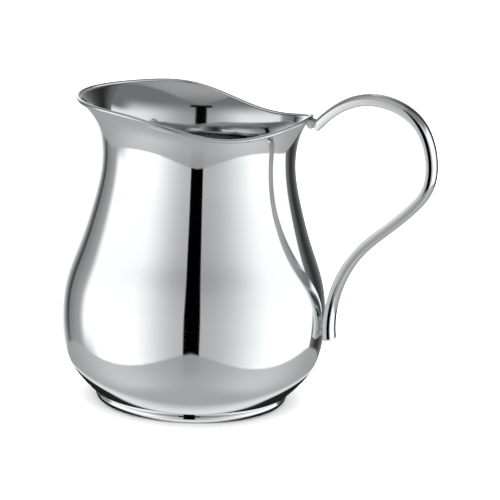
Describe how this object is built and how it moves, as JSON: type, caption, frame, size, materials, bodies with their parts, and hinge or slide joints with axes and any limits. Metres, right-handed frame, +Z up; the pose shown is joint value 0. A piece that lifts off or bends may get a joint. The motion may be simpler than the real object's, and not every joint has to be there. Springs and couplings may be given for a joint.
{
  "type": "cream jug",
  "caption": "Polished metal cream jug with a pot belly, a flared wavy mouth with a pouring lip, a loop handle and a low foot ring.",
  "frame": {"origin": "centre of the underside of the foot ring, on the body's upright axis, level with the surface the jug stands on", "axes": "+Z up along the body's axis, +X towards the handle, so the pouring lip points along -X, +Y to the left of the handle seen from outside"},
  "size_m": [0.1068, 0.076, 0.0929],
  "materials": {
    "polished_metal": "polished",
    "braze_metal": "satin"
  },
  "bodies": {
    "root": {"body": "polished_metal", "rim_wire": "polished_metal", "foot_ring": "polished_metal", "handle": "polished_metal", "upper_joint": "braze_metal", "lower_joint": "braze_metal"}
  },
  "joints": []
}
